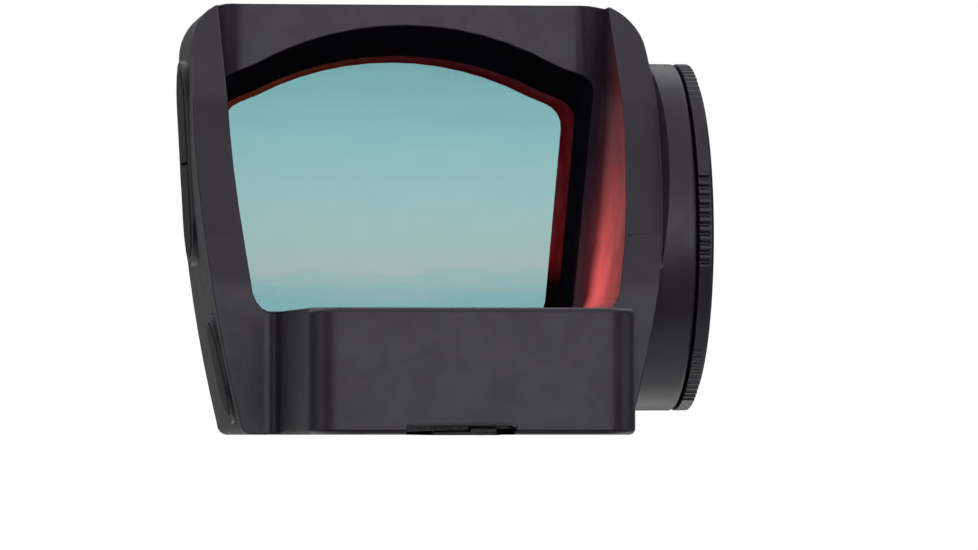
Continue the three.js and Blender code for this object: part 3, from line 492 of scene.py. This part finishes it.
def bare_mesh(name, source):
    """A copy of a CAD node's surface, welded, with its flat faces joined."""
    shape = bmesh.new()
    shape.from_mesh(source.data)
    bmesh.ops.remove_doubles(shape, verts=shape.verts, dist=WELD)
    bmesh.ops.dissolve_degenerate(shape, dist=SLIVER, edges=shape.edges)
    bmesh.ops.dissolve_limit(
        shape, angle_limit=math.radians(FLAT_DEGREES), verts=shape.verts, edges=shape.edges)
    mesh = bpy.data.meshes.new(name)
    corners = [tuple(v.co) for v in shape.verts]
    mesh.from_pydata(corners, [], [[v.index for v in f.verts] for f in shape.faces])
    shape.free()
    mesh.polygons.foreach_set("use_smooth", [True] * len(mesh.polygons))
    mesh.update()
    return mesh


def round_edges(piece, width):
    """Rounds a piece's sharp edges and keeps its flat faces flat in the shading."""
    bevel = piece.modifiers.new("edges", "BEVEL")
    bevel.width = width
    bevel.segments = BEVEL_SEGMENTS
    bevel.limit_method = "ANGLE"
    bevel.angle_limit = math.radians(SHARP_DEGREES)
    bevel.use_clamp_overlap = False
    bevel.loop_slide = False  # or a rounded edge runs off along a facet that it barely crosses
    normals = piece.modifiers.new("normals", "WEIGHTED_NORMAL")
    normals.mode = "FACE_AREA"
    normals.weight = NORMAL_WEIGHT


BODY_OF = {name: body for body, names in frame["record"]["behaviour"]["bodies"].items() for name in names}
SLOT_OF = {part["node"]: part["material_slot"] for part in frame["record"]["subparts"]}


def skin(cad, material, width_mm):
    """Finished surface for a CAD node: the same shape with rounded edges and smooth shading."""
    piece = link_object(cad + "_skin", bare_mesh(cad + "_skin", frame["nodes"][cad]))
    piece.data.materials.append(material)
    if width_mm:
        round_edges(piece, width_mm * MM)
    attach(piece, BODY_OF[cad])
    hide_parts(cad)
    return piece


def paint(piece, material, chosen):
    """Gives another material to the faces that chosen(centre, normal) picks."""
    piece.data.materials.append(material)
    for face in piece.data.polygons:
        if chosen(face.center, face.normal):
            face.material_index = len(piece.data.materials) - 1


# ---------------------------------------------------------------- the pieces

SLOT_FINISH = {
    "sealant_black": sealant(),
    "rubber_black": rubber(),
    "screw_black": black_oxide(),
    "steel": nickel(),
    "spring_steel": spring_steel(),
    "gold_plate": gold(),
    "board_green": solder_mask(),
    "chip_black": moulded_black(),
    "flex_amber": polyimide(),
    "red_lens": red_plastic(),
    "anodised_black": anodised(),
    "clear_glass": clear_glass(),
}
EDGE_MM = {"housing": 0.12, "battery_cap": 0.06, "bottom_cover": 0.08}
SMALL_EDGE_MM = 0.03
TUNNEL = {"side": 1, "top": 1.5, "back": 5.9, "front": 4}  # how far the tunnel, and the painted shade on its walls, reaches past the lens, in mm
WALL_TILT = 0.6  # a wall of the tunnel has less than this of its normal along Y
RIM_TILT = 0.5  # the same for the edge of the lens
FACE_ON = 0.9  # and a face of the lens has more than this
LENS_DRAW_IN = 0.065  # share of the lens's width lost from its back to its front


def housing():
    """The milled body, with painted shade, matt black, on the walls of the tunnel round the lens."""
    piece = skin("housing", SLOT_FINISH["anodised_black"], EDGE_MM["housing"])
    low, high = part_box("rear_lens_element")
    middle = (low + high) / 2

    def in_tunnel(centre, normal):
        side = TUNNEL["side"] * MM
        across = abs(centre.x) < high.x + side and low.z - side < centre.z < high.z + TUNNEL["top"] * MM
        along = low.y - TUNNEL["back"] * MM < centre.y < high.y + TUNNEL["front"] * MM
        return across and along and abs(normal.y) < WALL_TILT and normal.dot(middle - centre) > 0

    # painted shade: the tunnel's walls get a near-black colour for the shade that falls in them
    paint(piece, tunnel_painted_shade(), in_tunnel)


def taper(piece, chosen):
    """Draws the chosen corners in towards the middle of the lens, more and more towards the front."""
    low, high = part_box("rear_lens_element")
    back, front = low.y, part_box("front_lens_element")[1].y
    middle = (low + high) / 2
    for corner in piece.data.vertices:
        if chosen(corner):
            kept = 1 - LENS_DRAW_IN * (corner.co.y - back) / (front - back)
            corner.co.x *= kept
            corner.co.z = middle.z + (corner.co.z - middle.z) * kept


def lens():
    """The two elements, coated where they meet, with the emitter's red light painted on their edge, and the
    seal round them.
    """
    glass = SLOT_FINISH["clear_glass"]
    edge = lens_edge_painted_glow()
    rear = skin("rear_lens_element", glass, 0)
    paint(rear, coated_glass(), lambda centre, normal: normal.y > FACE_ON)
    front = skin("front_lens_element", glass, 0)
    for piece in (rear, front):
        # the edge faces get the painted red light, glow and shade
        paint(piece, edge, lambda centre, normal: abs(normal.y) < RIM_TILT)
        taper(piece, lambda corner: True)
    seal = skin("lens_seal", SLOT_FINISH["sealant_black"], 0)
    middle = sum(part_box("lens_seal"), Vector()) / 2
    inner = set()
    for face in seal.data.polygons:
        if abs(face.normal.y) < RIM_TILT and face.normal.dot(middle - face.center) > 0:
            inner.update(face.vertices)
    taper(seal, lambda corner: corner.index in inner)


def everything_else():
    """Every other piece in the finish of its slot."""
    done = {"housing", "rear_lens_element", "front_lens_element", "lens_seal"}
    for cad in sorted(set(frame["nodes"]) - done):
        skin(cad, SLOT_FINISH[SLOT_OF[cad]], EDGE_MM.get(cad, SMALL_EDGE_MM))


FLOOR_RADIUS = 0.6
FLOOR_SIDES = 96


def floor():
    """The pale floor that the sight stands on."""
    made = link_object("floor", bpy.data.meshes.new("floor"))
    disc = bmesh.new()
    bmesh.ops.create_circle(disc, cap_ends=True, radius=FLOOR_RADIUS, segments=FLOOR_SIDES)
    disc.to_mesh(made.data)
    disc.free()
    made.data.materials.append(studio_floor())
    made.visible_glossy = False  # the black finish mirrors the lower half of the room instead


make_camera()
make_world()
overhead_light()
red_glow()
housing()
lens()
everything_else()
floor()
bpy.context.scene.view_settings.view_transform = "Standard"
